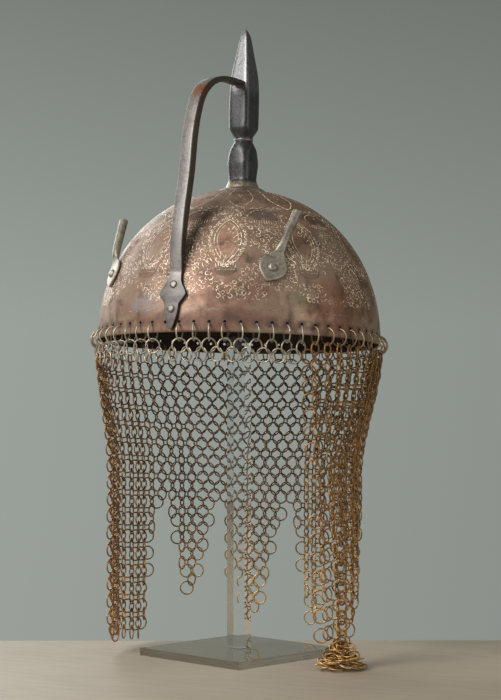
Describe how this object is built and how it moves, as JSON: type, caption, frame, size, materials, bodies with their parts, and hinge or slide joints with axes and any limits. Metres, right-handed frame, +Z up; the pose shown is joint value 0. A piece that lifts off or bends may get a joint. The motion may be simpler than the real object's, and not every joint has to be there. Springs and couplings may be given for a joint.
{
  "type": "mail-hung kulah khud helmet with acrylic stand",
  "caption": "Domed steel kulah khud helmet with finial spike, raised nasal bar, plume holders and hanging mail, on a clear post stand.",
  "frame": {"origin": "on the table plane, at the middle of the stand base's underside", "axes": "+Z up along the stand's post; the nasal bar faces -Y; +X is on the right-hand side of someone facing the nasal bar"},
  "size_m": [0.208, 0.2075, 0.454],
  "materials": {
    "skull": "warm brown patina with worn bright engraving",
    "dark_steel": "dark forged steel",
    "bar_steel": "brown worn steel",
    "grey_steel": "pitted grey steel",
    "mail": "golden-brown oxidised wire",
    "acrylic": "clear polished acrylic"
  },
  "bodies": {
    "root": {"skull": "skull", "finial_plate": "bar_steel", "finial_spike": "dark_steel", "nasal_bar": "bar_steel", "nasal_rivet_upper": "bar_steel", "nasal_rivet_lower": "bar_steel", "plume_holder_right": "grey_steel", "plume_holder_left": "grey_steel", "plume_rivet_right": "grey_steel", "plume_rivet_left": "grey_steel", "mail_curtain": "mail", "stand_base": "acrylic", "stand_post": "acrylic"}
  },
  "joints": []
}
